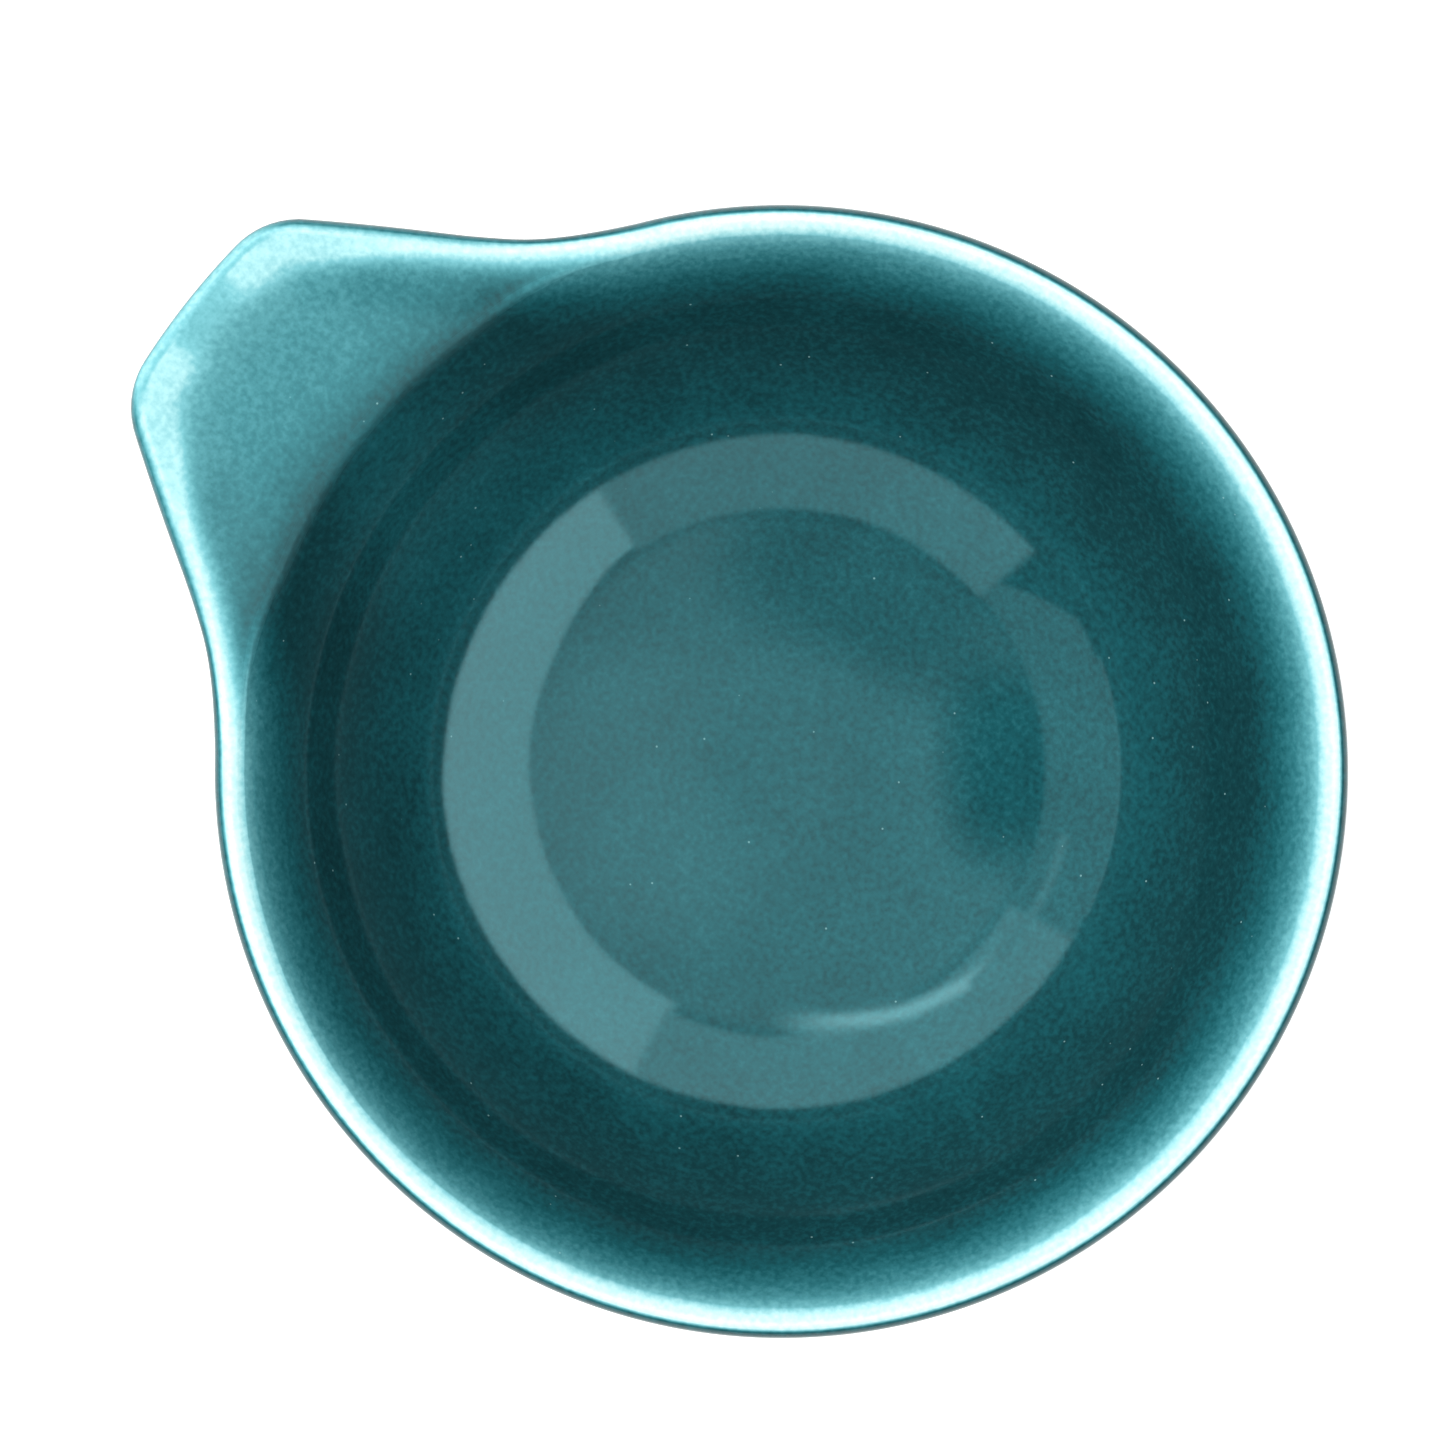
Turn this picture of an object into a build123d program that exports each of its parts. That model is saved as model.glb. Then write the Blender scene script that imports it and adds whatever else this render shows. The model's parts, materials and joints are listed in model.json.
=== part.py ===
"""A deep round pottery dish with one tapered lug.

The dish is one fired piece, made from clay parts that are luted together and covered with
coats of glaze. Every clay part and every coat is its own solid here.

Frame: the origin is on the bowl's axis at the foot's seat, +Z is up, and +X points to the lug.
All sizes are millimetres and degrees.
"""

import os
from math import asin, atan2, cos, degrees, hypot, radians, sin, sqrt

from build123d import *

# ---- Bowl -------------------------------------------------------------------------------
rim_radius = 77.5  # bowl axis to the outside of the rim
rim_height = 55.0  # seat to the top of the rim
wall = 5.0  # clay with a coat of glaze on both faces
glaze = 0.4  # one coat of glaze
floor_radius = 8.0  # flat middle of the floor
heel_slope = 39.5  # where the floor's curve passes into the wall's
wall_slope = 62.0  # steepest part of the wall
lip_slope = 48.4  # where the flared wall meets the lip
flare_radius = 62.0  # reverse curve of the wall below the lip, on the inner face

# ---- Foot -------------------------------------------------------------------------------
foot_radius = 38.0  # outside of the foot at its seat
foot_width = 4.5  # width of the foot at its seat
foot_recess = 3.5  # seat to the underside of the floor
foot_taper = 8.0  # lean of each side of the foot
foot_fillet = 2.0  # between the foot and the underside
seat_rounding = 0.6  # corners of the seat
bare_height = 2.0  # height of the foot that the glaze leaves bare

# ---- Lug --------------------------------------------------------------------------------
lug_length = 25.3  # rim to the end of the lug
lug_end_width = 31.6  # between the end corners, before they are rounded
lug_splay = 33.5  # each side against the lug's centre line
lug_corner = 12.0  # end corners, in plan
lug_root = 90.0  # sweep from the rim into each side, in plan
lug_knee_slope = 12.0  # climb where the lug leaves the rim
lug_end_slope = 3.0  # climb at the end of the lug
lug_under_slope = 8.0  # climb of the underside
lug_under_root = 6.0  # fillet between the underside and the wall
lug_top_rounding = 2.2  # upper edge
lug_under_rounding = 1.0  # lower edge
scoop_width = 52.0  # hollow in the top of the lug, across
scoop_depth = 1.6  # deepest point of the hollow
scoop_margin = 5.0  # hollow's edge to the end of the lug


def tangent_arcs(edge, steps):
    """Carries a line on from the end of edge: each step is a radius and the angle it turns."""
    for radius, turn in steps:
        edge = JernArc(start=edge @ 1, tangent=edge % 1, radius=radius, arc_size=turn)
    return edge


# ---- Bowl's section ---------------------------------------------------------------------
# The inner face is a flat floor, a floor arc up to heel_slope, a wall arc up to wall_slope and
# a reverse arc back to lip_slope. The outer face is parallel to it, and the lip is a half
# round between the two.
floor_top = foot_recess + wall
depth = rim_height - floor_top
sin_heel, cos_heel = sin(radians(heel_slope)), cos(radians(heel_slope))
sin_wall, cos_wall = sin(radians(wall_slope)), cos(radians(wall_slope))
sin_lip, cos_lip = sin(radians(lip_slope)), cos(radians(lip_slope))

lip_radius = wall / 2
crown_radius = rim_radius - lip_radius
joint_radius = crown_radius - lip_radius * sin_lip  # where the wall ends and the lip begins

# The two arcs have to span what is left of the radius and of the depth.
span_left = joint_radius - floor_radius - flare_radius * (sin_wall - sin_lip)
rise_left = depth - flare_radius * (cos_lip - cos_wall) - lip_radius * (1 - cos_lip)
determinant = sin_heel * (cos_heel - cos_wall) - (sin_wall - sin_heel) * (1 - cos_heel)
floor_arc = (span_left * (cos_heel - cos_wall) - rise_left * (sin_wall - sin_heel)) / determinant
wall_arc = (rise_left * sin_heel - span_left * (1 - cos_heel)) / determinant


def inner_steps(inset):
    """The inner face from the floor to the lip, moved into the wall by inset."""
    return [
        (floor_arc + inset, heel_slope),
        (wall_arc + inset, wall_slope - heel_slope),
        (flare_radius - inset, lip_slope - wall_slope),
    ]


def bowl_section(inset):
    """Half of the bowl's section without its foot, with every face moved in by inset."""
    with BuildSketch(Plane.XZ) as section:
        with BuildLine():
            floor = Line((0, floor_top - inset), (floor_radius, floor_top - inset))
            inner = tangent_arcs(floor, inner_steps(inset))
            outer = tangent_arcs(
                inner,
                [
                    (lip_radius - inset, -180),
                    (flare_radius - wall + inset, wall_slope - lip_slope),
                    (wall_arc + wall - inset, heel_slope - wall_slope),
                    (floor_arc + wall - inset, -heel_slope),
                ],
            )
            Polyline(outer @ 1, (0, foot_recess + inset), (0, floor_top - inset))
        make_face()
    return section.sketch


def hollow_section():
    """The space over the middle of the wall, up to the crown of the lip."""
    above = rim_height + lip_radius
    with BuildSketch(Plane.XZ) as section:
        with BuildLine():
            floor = Line((0, floor_top - wall / 2), (floor_radius, floor_top - wall / 2))
            middle = tangent_arcs(floor, inner_steps(wall / 2))
            Polyline(
                middle @ 1,
                (crown_radius, rim_height - lip_radius),
                (crown_radius, above),
                (0, above),
                (0, floor_top - wall / 2),
            )
        make_face()
    return section.sketch


# ---- Foot's section ---------------------------------------------------------------------
foot_middle = foot_radius - foot_width / 2
foot_swing = degrees(asin((foot_middle - floor_radius) / (floor_arc + wall)))
foot_top = foot_recess + (floor_arc + wall) * (1 - cos(radians(foot_swing))) + wall / 2


def footed_section(inset):
    """Half of the whole bowl's section, with every face but the seat moved in by inset."""
    lean = foot_top * sin(radians(foot_taper))
    outside = foot_radius - inset
    inside = foot_radius - foot_width + inset
    with BuildSketch(Plane.XZ) as section:
        add(bowl_section(inset))
        Polygon(
            (inside, 0),
            (outside, 0),
            (outside + lean, foot_top),
            (inside - lean, foot_top),
            align=None,
        )
        corners = section.vertices().filter_by_position(
            Axis.X, inside - lean, outside + lean
        )
        seat = corners.filter_by(lambda corner: corner.Y < bare_height / 2)
        junction = corners.filter_by(lambda corner: bare_height < corner.Y < foot_top)
        fillet(junction, foot_fillet + inset)
        fillet(seat, seat_rounding)
    return section.sketch


def foot_clay_section():
    """The foot under the bowl: full size where it is bare, and one coat smaller above."""
    with BuildSketch(Plane.XZ) as section:
        add(footed_section(0))
        with Locations((foot_middle, bare_height / 2)):
            Rectangle(2 * foot_width, bare_height, mode=Mode.INTERSECT)
        add(footed_section(glaze))
        add(bowl_section(glaze), mode=Mode.SUBTRACT)
    return section.sketch


def coat_section():
    """The whole coat of glaze, down to the bare part of the foot."""
    with BuildSketch(Plane.XZ) as section:
        add(footed_section(0))
        add(footed_section(glaze), mode=Mode.SUBTRACT)
        with Locations((0, bare_height / 2)):
            Rectangle(4 * rim_radius, bare_height, mode=Mode.SUBTRACT)
    return section.sketch


# ---- Lug's outline ----------------------------------------------------------------------
# In plan the end is an arc about the bowl's axis. Each straight side is side_distance from
# that axis, and both rounded corners touch their neighbours, so an inset keeps every centre.
lug_reach = rim_radius + lug_length
end_x = sqrt(lug_reach**2 - (lug_end_width / 2) ** 2)
side_normal = 90 - lug_splay
side_distance = end_x * cos(radians(side_normal)) + lug_end_width / 2 * sin(radians(side_normal))


def on_side(distance, from_axis):
    """The point this far out from the side's parallel through the axis, and from the axis."""
    along = -sqrt(from_axis**2 - distance**2)
    out = Vector(cos(radians(side_normal)), sin(radians(side_normal)))
    return out * distance + Vector(-out.Y, out.X) * along


root_centre = on_side(side_distance + lug_root, rim_radius + lug_root)
corner_centre = on_side(side_distance - lug_corner, lug_reach - lug_corner)
root_azimuth = degrees(atan2(root_centre.Y, root_centre.X))
corner_azimuth = degrees(atan2(corner_centre.Y, corner_centre.X))


def lug_plan(inset):
    """The lug and its stretch of rim seen from above, out from the axis, moved in by inset."""
    with BuildSketch() as plan:
        with BuildLine() as outline:
            root_arc = CenterArc(
                (root_centre.X, root_centre.Y),
                lug_root + inset,
                root_azimuth + 180,
                side_normal - root_azimuth,
            )
            corner_arc = CenterArc(
                (corner_centre.X, corner_centre.Y),
                lug_corner - inset,
                side_normal,
                corner_azimuth - side_normal,
            )
            Line(root_arc @ 1, corner_arc @ 0)
            Line((0, 0), root_arc @ 0)
            mirror(about=Plane.XZ)
            CenterArc((0, 0), lug_reach - inset, -corner_azimuth, 2 * corner_azimuth)
        make_face()
    return plan.sketch


def joint_plan():
    """Where the lug's piece takes the place of the rim: outside the joint, between its roots."""
    beyond = 2 * lug_reach
    with BuildSketch() as plan:
        with BuildLine():
            near = CenterArc((0, 0), joint_radius, -root_azimuth, 2 * root_azimuth)
            far = CenterArc((0, 0), beyond, -root_azimuth, 2 * root_azimuth)
            Line(near @ 0, far @ 0)
            Line(near @ 1, far @ 1)
        make_face()
    return plan.sketch


# ---- Lug's sections ---------------------------------------------------------------------
# The top is level with the rim where the roots begin, climbs to the knee over the joint, and
# eases off to the end. It is the same all the way across.
climb_start = rim_radius * cos(radians(root_azimuth))
sin_knee, cos_knee = sin(radians(lug_knee_slope)), cos(radians(lug_knee_slope))
climb_arc = (joint_radius - climb_start) / sin_knee
ease_arc = (lug_reach - joint_radius) / (sin_knee - sin(radians(lug_end_slope)))


def lug_side(inset):
    """Everything below the lug's top, seen from the side, with the top lowered by inset."""
    with BuildSketch(Plane.XZ) as side:
        with BuildLine():
            level = Line((0, rim_height - inset), (climb_start, rim_height - inset))
            top = tangent_arcs(
                level,
                [
                    (climb_arc + inset, lug_knee_slope),
                    (ease_arc - inset, lug_end_slope - lug_knee_slope),
                ],
            )
            tail = PolarLine(top @ 1, lug_length, lug_end_slope)
            Polyline(tail @ 1, ((tail @ 1).X, 0), (0, 0), (0, rim_height - inset))
        make_face()
    return side.sketch


def lug_section(inset):
    """Section through the lug's stretch of wall and its underside, open at the top and end."""
    steep_radius = joint_radius - flare_radius * (sin_wall - sin_lip)
    steep_height = rim_height - lip_radius * (1 - cos_lip) - flare_radius * (cos_lip - cos_wall)
    into_wall = Vector(sin_wall, -cos_wall)
    steep = Vector(steep_radius, steep_height)
    above = rim_height + lug_length
    with BuildSketch(Plane.XZ) as section:
        with BuildLine():
            across = Line(steep + into_wall * inset, steep + into_wall * (wall - inset))
            inner_flare = JernArc(
                across @ 0, (cos_wall, sin_wall), flare_radius - inset, lip_slope - wall_slope
            )
            inner = PolarLine(inner_flare @ 1, above - (inner_flare @ 1).Y, lip_slope,
                              length_mode=LengthMode.VERTICAL)
            outer_flare = JernArc(
                across @ 1,
                (cos_wall, sin_wall),
                flare_radius - wall + inset,
                lip_slope - wall_slope,
            )
            fillet_arc = tangent_arcs(
                outer_flare, [(lug_under_root + inset, lug_under_slope - lip_slope)]
            )
            under = PolarLine(fillet_arc @ 1, lug_reach, lug_under_slope)
            Polyline(inner @ 1, ((under @ 1).X, above), under @ 1)
        make_face()
        with Locations((joint_radius, 0)):
            Rectangle(
                2 * lug_reach, 2 * above, align=(Align.MIN, Align.CENTER), mode=Mode.INTERSECT
            )
    return section.sketch


# ---- Lug's hollow -----------------------------------------------------------------------
scoop_sphere = ((scoop_width / 2) ** 2 + scoop_depth**2) / (2 * scoop_depth)
scoop_x = lug_reach - scoop_margin - scoop_width / 2
scoop_slope = lug_knee_slope * min(1, (scoop_x - climb_start) / (joint_radius - climb_start))
scoop_surface = rim_height + climb_arc * (1 - cos(radians(scoop_slope)))
scoop_lift = scoop_sphere - scoop_depth
scoop_centre = (
    scoop_x - scoop_lift * sin(radians(scoop_slope)),
    0,
    scoop_surface + scoop_lift * cos(radians(scoop_slope)),
)


def outline_faces(form):
    """The upright faces on the lug's outline."""
    upright = form.faces().filter_by(lambda face: abs(face.normal_at().Z) < 0.01)
    return upright.filter_by(lambda face: hypot(face.center().X, face.center().Y) > rim_radius)


def outline_edges(form, side):
    """The edges along the top of those faces, where side is 1, or the bottom, where it is -1."""
    edges = ShapeList()
    for face in outline_faces(form):
        level = face.edges().filter_by(Axis.Z, reverse=True)
        middle = face.center().Z
        edges += level.filter_by(lambda edge: side * (edge.center().Z - middle) > 0)
    return edges


def lug_form(inset):
    """The lug with its stretch of rim, with every face but the joint's moved in by inset."""
    with BuildPart() as form:
        revolve(lug_section(inset), axis=Axis.Z)
        extrude(lug_plan(inset), amount=2 * rim_height, mode=Mode.INTERSECT)
        extrude(lug_side(inset), amount=lug_reach, both=True, mode=Mode.INTERSECT)
        fillet(outline_edges(form, 1), lug_top_rounding - inset)
        fillet(outline_edges(form, -1), lug_under_rounding - inset)
        with Locations(scoop_centre):
            Sphere(scoop_sphere + inset, mode=Mode.SUBTRACT)
    return form.part


# ---- Clay parts -------------------------------------------------------------------------
with BuildPart() as bowl_body:
    revolve(bowl_section(glaze), axis=Axis.Z)
    extrude(joint_plan(), amount=2 * rim_height, mode=Mode.SUBTRACT)

with BuildPart() as foot_ring:
    revolve(foot_clay_section(), axis=Axis.Z)

with BuildPart() as lug_handle:
    add(lug_form(glaze))

# ---- Coats of glaze ---------------------------------------------------------------------
with BuildPart() as inside_glaze:
    with BuildSketch(Plane.XZ):
        add(coat_section())
        add(hollow_section(), mode=Mode.INTERSECT)
    revolve(axis=Axis.Z)
    extrude(joint_plan(), amount=2 * rim_height, mode=Mode.SUBTRACT)

with BuildPart() as outside_glaze:
    with BuildSketch(Plane.XZ):
        add(coat_section())
        add(hollow_section(), mode=Mode.SUBTRACT)
        with Locations((foot_middle, 0)):
            Rectangle(
                rim_radius, 2 * rim_height, align=(Align.MIN, Align.CENTER), mode=Mode.INTERSECT
            )
    revolve(axis=Axis.Z)
    extrude(joint_plan(), amount=2 * rim_height, mode=Mode.SUBTRACT)

with BuildPart() as base_glaze:
    with BuildSketch(Plane.XZ):
        add(coat_section())
        add(hollow_section(), mode=Mode.SUBTRACT)
        Rectangle(2 * foot_middle, 2 * rim_height, mode=Mode.INTERSECT)
    revolve(axis=Axis.Z)

with BuildPart() as lug_glaze:
    add(lug_form(0))
    add(lug_form(glaze), mode=Mode.SUBTRACT)

# ---- Files ------------------------------------------------------------------------------
pieces = {
    "bowl_body": bowl_body,
    "foot_ring": foot_ring,
    "lug_handle": lug_handle,
    "inside_glaze": inside_glaze,
    "outside_glaze": outside_glaze,
    "base_glaze": base_glaze,
    "lug_glaze": lug_glaze,
}
os.makedirs("parts", exist_ok=True)
for name, piece in pieces.items():
    piece.part.label = name
    export_step(piece.part, f"parts/{name}.step")
    print(f"{name}: {len(piece.part.solids())} solid, {piece.part.volume:.0f} mm3")
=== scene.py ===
"""Looks of a deep round glazed dish with one tapered lug.

Every coat of glaze is a closed skin, cut from one continuous surface that runs from the middle
of the floor over the lip and down the outside to the middle of the underside. The surface is
a numpy grid: one way round the dish, the other way along its section.

Sizes in the classes are millimetres and degrees, and meshes are made in metres. The origin is
on the bowl's axis at the foot's seat, +Z is up and +X points to the lug.
"""

import json
import logging
from dataclasses import dataclass, field
from enum import Enum
from typing import Any

import bpy
import numpy as np
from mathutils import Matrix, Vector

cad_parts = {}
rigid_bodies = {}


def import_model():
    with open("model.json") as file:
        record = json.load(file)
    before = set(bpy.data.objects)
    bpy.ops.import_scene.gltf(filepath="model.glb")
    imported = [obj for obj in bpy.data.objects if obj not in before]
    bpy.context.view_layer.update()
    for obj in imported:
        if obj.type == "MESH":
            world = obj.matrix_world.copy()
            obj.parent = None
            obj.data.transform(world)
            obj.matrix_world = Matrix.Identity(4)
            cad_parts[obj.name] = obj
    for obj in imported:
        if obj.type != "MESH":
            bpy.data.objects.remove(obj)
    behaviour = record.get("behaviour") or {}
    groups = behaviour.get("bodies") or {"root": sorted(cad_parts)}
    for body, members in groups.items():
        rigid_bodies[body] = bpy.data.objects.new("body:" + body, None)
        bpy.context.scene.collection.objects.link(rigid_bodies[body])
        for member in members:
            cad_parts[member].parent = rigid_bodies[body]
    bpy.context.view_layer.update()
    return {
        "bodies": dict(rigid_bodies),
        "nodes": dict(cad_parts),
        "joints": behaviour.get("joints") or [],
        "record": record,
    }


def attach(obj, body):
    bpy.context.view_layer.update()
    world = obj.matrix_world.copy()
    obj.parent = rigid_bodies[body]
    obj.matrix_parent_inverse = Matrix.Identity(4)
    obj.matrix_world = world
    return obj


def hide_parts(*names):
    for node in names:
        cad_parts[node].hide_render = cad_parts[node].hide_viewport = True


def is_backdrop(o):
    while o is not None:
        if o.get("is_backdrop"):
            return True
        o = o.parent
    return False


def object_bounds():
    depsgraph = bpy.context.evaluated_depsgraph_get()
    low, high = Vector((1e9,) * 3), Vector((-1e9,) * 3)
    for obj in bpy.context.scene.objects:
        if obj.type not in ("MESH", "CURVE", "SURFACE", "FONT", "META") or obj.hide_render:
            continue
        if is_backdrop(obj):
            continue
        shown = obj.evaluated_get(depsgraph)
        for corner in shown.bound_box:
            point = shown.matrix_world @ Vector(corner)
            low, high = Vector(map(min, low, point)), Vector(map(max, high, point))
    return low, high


log = logging.getLogger("dish")

MM = 0.001
TINY = 1e-9

Array = np.ndarray


# ---- Numbers ----------------------------------------------------------------------------------


def linear(code: str) -> tuple[float, float, float, float]:
    """Turns an sRGB hex colour into linear light.

    Args:
        code: Six hex digits after a hash.

    Returns:
        Red, green, blue and an alpha of one.
    """
    parts = [int(code[place : place + 2], 16) / 255 for place in (1, 3, 5)]
    red, green, blue = (
        part / 12.92 if part <= 0.04045 else ((part + 0.055) / 1.055) ** 2.4 for part in parts
    )
    return red, green, blue, 1.0


def smoothstep(value: Array | float, low: float, high: float) -> Array:
    """Rises from 0 at low to 1 at high as 3t² - 2t³."""
    part = np.clip((np.asarray(value) - low) / (high - low), 0, 1)
    return part * part * (3 - 2 * part)


def soft_least(one: Array, other: Array, blend: Array | float) -> Array:
    """Takes the lower of two heights, with a rounded corner between them.

    The corner is lowered by blend·h²/4, where h falls from 1 at the crossing to 0 where the
    heights are blend apart.

    Args:
        one: First height.
        other: Second height.
        blend: Difference of height at which the rounding ends.

    Returns:
        The rounded lower height.
    """
    near = np.clip(1 - np.abs(one - other) / blend, 0, None)
    return np.minimum(one, other) - near * near * blend / 4


def waves(angle: Array, seed: float) -> Array:
    """Wanders smoothly between 0 and 1 round the dish, as a sum of five sines."""
    total = sum(
        np.sin(turns * angle + seed * turns * turns) / turns**0.5 for turns in (3, 5, 8, 13, 21)
    )
    return np.clip(0.5 + total / 4, 0, 1)


def arc_chain(start: tuple[float, float], arcs: list[tuple[float, float]]) -> Array:
    """Follows tangent arcs in the plane of a section.

    From a point at r and z, an arc of radius R runs to r + R(sin b - sin a) and
    z + R(cos a - cos b), where a and b are its first and last slopes. R is negative where the
    slope falls.

    Args:
        start: Radius and height of the first point, where the slope is level.
        arcs: Radius and final slope of each arc.

    Returns:
        Points as rows of radius and height.
    """
    samples = 240
    chain = [np.array([start])]
    slope = 0.0
    for radius, last in arcs:
        turned = np.radians(np.linspace(slope, last, samples)[1:])
        first = np.radians(slope)
        signed = radius if last > slope else -radius
        r = chain[-1][-1, 0] + signed * (np.sin(turned) - np.sin(first))
        z = chain[-1][-1, 1] + signed * (np.cos(first) - np.cos(turned))
        chain.append(np.column_stack([r, z]))
        slope = last
    return np.vstack(chain)


def ray(points: Array, slope: float, run: float) -> Array:
    """Adds a straight run at that slope to the end of a section."""
    end = points[-1] + [run, run * np.tan(np.radians(slope))]
    return np.vstack([points, end])


def along(points: Array, count: int) -> Array:
    """Spaces points evenly along a path, leaving out its first point.

    Args:
        points: Path as rows of coordinates.
        count: Number of steps.

    Returns:
        The end of each step.
    """
    steps = np.hypot(*np.diff(points, axis=0).T)
    gone = np.concatenate([[0], np.cumsum(steps)])
    stops = np.linspace(0, gone[-1], count + 1)[1:]
    return np.column_stack([np.interp(stops, gone, points[:, axis]) for axis in (0, 1)])


# ---- Node helper ------------------------------------------------------------------------------

# The Mix node has a set of sockets for each kind of data. These are the colour ones.
COLOUR_A, COLOUR_B, COLOUR_OUT = 6, 7, 2


def add_node(tree: Any, kind: str, links: dict[Any, Any] | None = None, **settings: Any) -> Any:
    """Adds a shader node, sets it up and links its inputs.

    Args:
        tree: Node tree that gets the node.
        kind: Blender's name for the node type.
        links: Input name or number to an output socket, or to a constant.
        settings: Properties of the node itself.

    Returns:
        The new node.
    """
    node = tree.nodes.new(kind)
    for name, value in settings.items():
        setattr(node, name, value)
    for name, value in (links or {}).items():
        socket = node.inputs[name]
        if isinstance(value, bpy.types.NodeSocket):
            tree.links.new(value, socket)
        else:
            socket.default_value = value
    return node


def blank_material(name: str) -> tuple[bpy.types.Material, Any]:
    """Makes a material whose node tree is empty, and gives both."""
    material = bpy.data.materials.new(name)
    material.use_nodes = True
    material.node_tree.nodes.clear()
    return material, material.node_tree


def fill_ramp(node: Any, stops: tuple[tuple[float, str], ...]) -> None:
    """Sets a colour ramp's stops from places and hex colours."""
    ramp = node.color_ramp
    while len(ramp.elements) > 1:
        ramp.elements.remove(ramp.elements[-1])
    ramp.elements[0].position = stops[0][0]
    ramp.elements[0].color = linear(stops[0][1])
    for place, code in stops[1:]:
        ramp.elements.new(place).color = linear(code)


# ---- Finishes ---------------------------------------------------------------------------------


@dataclass(frozen=True)
class TealGlaze:
    """Dipped teal stoneware glaze, fired glossy.

    It is a layer of coloured glass on pale clay. Where it drains off an edge it is a thinner coat
    and lets the clay through as pale mint, and where it pools it is deep blue-green. In places the
    paleness that the mesh carries is also painted shade and painted highlight.
    """

    name: str = "teal stoneware glaze"
    ior: float = 1.52
    roughness: tuple[float, float] = (0.042, 0.09)  # its least and most over the slow changes
    rub: float = 0.5  # roughness that the rubbed crease has on top
    tint: str = "#adf7ff"  # what the coloured glass gives its reflections
    grain: float = 0.9  # mm, clouding of the glass
    grain_share: float = 0.05  # how much it changes the thinness
    drift: float = 14.0  # mm, slow changes of thickness
    drift_share: float = 0.02
    sway: float = 24.0  # mm, unevenness left by the potter's hands
    sway_depth: float = 0.1  # mm
    peel: float = 2.6  # mm, orange peel of the fired surface
    peel_depth: float = 0.004  # mm
    speck: float = 2.4  # mm, spacing of the places for pinholes and white specks
    speck_fade: tuple[float, float] = (0.045, 0.075)  # of the spacing, over which a speck ends
    speck_strength: float = 0.45
    speck_skip: float = 0.82  # share of the places that stay empty
    speck_colour: str = "#a9d9da"
    stops: tuple[tuple[float, str], ...] = (
        (0.00, "#0b2a2e"),
        (0.10, "#133d42"),
        (0.20, "#19575e"),
        (0.32, "#30747c"),
        (0.45, "#50969e"),
        (0.60, "#76bcc4"),
        (0.75, "#aedfe1"),
        (0.90, "#e0f5f3"),
        (1.00, "#f4fbf8"),
    )

    def material(self) -> bpy.types.Material:
        """Builds the glaze from the paleness that each skin carries: how thinly the coat runs, with
        painted light and shade in places.

        Returns:
            The material.
        """
        material, tree = blank_material(self.name)
        place = add_node(tree, "ShaderNodeTexCoord").outputs["Object"]
        # The first attribute is the coat's paleness: how thinly it runs, with painted light and
        # shade in places.
        thin_and_painted_light, dull = (
            add_node(tree, "ShaderNodeAttribute", attribute_name=name).outputs["Fac"]
            for name in ("thinness_and_painted_light", "dullness")
        )
        lumps = ((self.grain, 3.0), (self.drift, 2.0), (self.sway, 1.0), (self.peel, 1.0))
        clouds, slow, uneven, peeled = (
            add_node(
                tree,
                "ShaderNodeTexNoise",
                {"Vector": place, "Scale": 1 / (size * MM), "Detail": detail},
            ).outputs["Fac"]
            for size, detail in lumps
        )

        stirred = self.stirred(tree, thin_and_painted_light, clouds, self.grain_share)
        stirred = self.stirred(tree, stirred, slow, self.drift_share)
        ramp = add_node(tree, "ShaderNodeValToRGB", {"Fac": stirred})
        fill_ramp(ramp, self.stops)
        body, speck = ramp.outputs["Color"], linear(self.speck_colour)
        colour = add_node(
            tree,
            "ShaderNodeMix",
            {0: self.specks(tree, place), COLOUR_A: body, COLOUR_B: speck},
            data_type="RGBA",
        )

        least, most = self.roughness
        sheen = add_node(
            tree, "ShaderNodeMapRange", {"Value": slow, "To Min": least, "To Max": most}
        ).outputs["Result"]
        sheen = add_node(
            tree, "ShaderNodeMath", {0: dull, 1: self.rub, 2: sheen}, operation="MULTIPLY_ADD"
        ).outputs[0]
        swayed = add_node(
            tree,
            "ShaderNodeBump",
            {"Height": uneven, "Distance": self.sway_depth * MM, "Strength": 1.0},
        ).outputs["Normal"]
        skin = add_node(
            tree,
            "ShaderNodeBump",
            {
                "Height": peeled,
                "Distance": self.peel_depth * MM,
                "Strength": 1.0,
                "Normal": swayed,
            },
        ).outputs["Normal"]

        shader = add_node(
            tree,
            "ShaderNodeBsdfPrincipled",
            {
                "Base Color": colour.outputs[COLOUR_OUT],
                "Roughness": sheen,
                "IOR": self.ior,
                "Specular Tint": linear(self.tint),
                "Normal": skin,
            },
        )
        add_node(tree, "ShaderNodeOutputMaterial", {"Surface": shader.outputs["BSDF"]})
        return material

    def stirred(self, tree: Any, thin_and_painted_light: Any, noise: Any, share: float) -> Any:
        """Makes the glaze thinner and thicker by up to this share, where the noise says."""
        change = add_node(
            tree,
            "ShaderNodeMapRange",
            {"Value": noise, "From Min": 0.3, "From Max": 0.7, "To Min": -share, "To Max": share},
        ).outputs["Result"]
        return add_node(tree, "ShaderNodeMath", {0: thin_and_painted_light, 1: change}, operation="ADD").outputs[0]

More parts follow.
